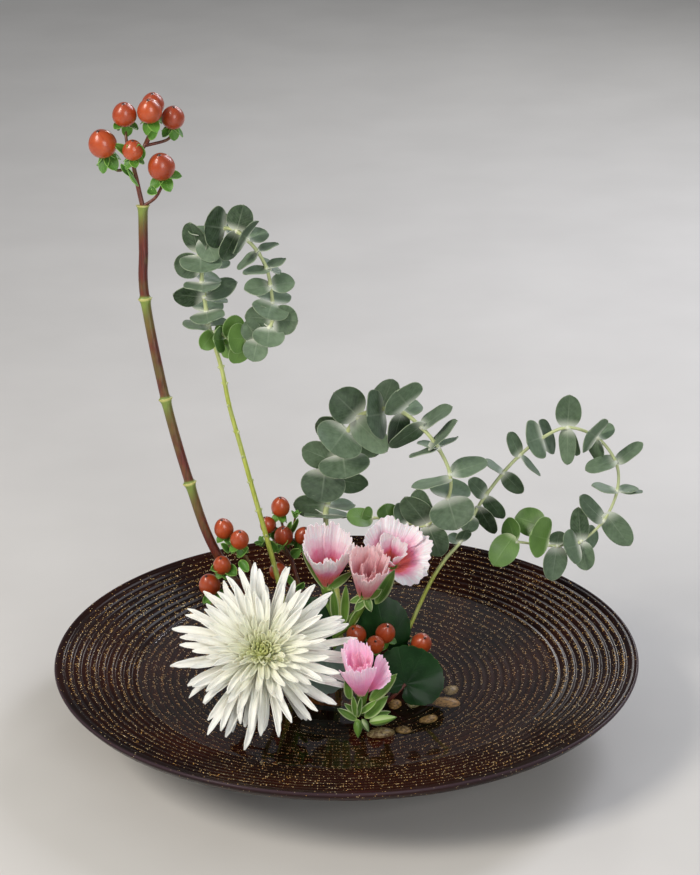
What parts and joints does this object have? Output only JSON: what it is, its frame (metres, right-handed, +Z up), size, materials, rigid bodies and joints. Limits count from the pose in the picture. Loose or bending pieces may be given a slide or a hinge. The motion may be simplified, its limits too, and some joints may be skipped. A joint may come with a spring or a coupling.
{
  "type": "ikebana arrangement",
  "caption": "Ikebana arrangement: tall berried stem, looped eucalyptus, spider chrysanthemum and pink flowers on a pin holder in a low flared glass bowl of water.",
  "frame": {"origin": "centre of the bowl's foot, on the surface that it stands on", "axes": "+Z up; -Y is the front, the side the flowers face; +X is to the right seen from the front"},
  "size_m": [0.362, 0.36, 0.4023],
  "materials": {
    "bowl_glass": "dark brown ribbed glass with gold flecks fused in, glossy",
    "water": "clear still water over dark glass",
    "kenzan_brass": "dull brass pins and base",
    "rubber": "matt black rubber",
    "pebble": "smooth wet pebble, amber and grey",
    "berry": "smooth waxy orange-red skin, glossy",
    "hypericum_stem": "woody twig, red-brown below and olive green above, with green calyces",
    "eucalyptus": "matt waxy blue-grey green leaves on pale stems",
    "chrysanthemum_petal": "soft cream petals with a green heart",
    "chrysanthemum_stem": "green ribbed stem",
    "godetia_petal": "thin silky pink petals, paler at the margin and red at the throat",
    "godetia_stem": "smooth green stem and sepals",
    "round_leaf": "leathery dark green leaf, satin gloss"
  },
  "bodies": {
    "root": {"bowl": "bowl_glass", "chrysanthemum_head": "chrysanthemum_petal", "chrysanthemum_stem": "chrysanthemum_stem", "eucalyptus_middle_sprig": "eucalyptus", "eucalyptus_right_sprig": "eucalyptus", "eucalyptus_tall_sprig": "eucalyptus", "godetia_front_corolla": "godetia_petal", "godetia_left_corolla": "godetia_petal", "godetia_low_stem": "godetia_stem", "godetia_middle_corolla": "godetia_petal", "godetia_right_corolla": "godetia_petal", "godetia_spray_stem": "godetia_stem", "hypericum_back_berry_1": "berry", "hypericum_back_berry_2": "berry", "hypericum_back_berry_3": "berry", "hypericum_back_berry_4": "berry", "hypericum_back_berry_5": "berry", "hypericum_back_stem": "hypericum_stem", "hypericum_front_berry_1": "berry", "hypericum_front_berry_2": "berry", "hypericum_front_berry_3": "berry", "hypericum_front_berry_4": "berry", "hypericum_front_stem": "hypericum_stem", "hypericum_left_berry_1": "berry", "hypericum_left_berry_2": "berry", "hypericum_left_berry_3": "berry", "hypericum_left_berry_4": "berry", "hypericum_left_stem": "hypericum_stem", "hypericum_tall_berry_1": "berry", "hypericum_tall_berry_2": "berry", "hypericum_tall_berry_3": "berry", "hypericum_tall_berry_4": "berry", "hypericum_tall_berry_5": "berry", "hypericum_tall_berry_6": "berry", "hypericum_tall_berry_7": "berry", "hypericum_tall_stem": "hypericum_stem", "kenzan": "kenzan_brass", "kenzan_rubber_ring": "rubber", "pebble_1": "pebble", "pebble_2": "pebble", "pebble_3": "pebble", "pebble_4": "pebble", "pebble_5": "pebble", "pebble_6": "pebble", "pebble_7": "pebble", "pebble_8": "pebble", "round_leaf_1": "round_leaf", "round_leaf_2": "round_leaf", "round_leaf_3": "round_leaf", "round_leaf_4": "round_leaf", "water": "water"}
  },
  "joints": []
}
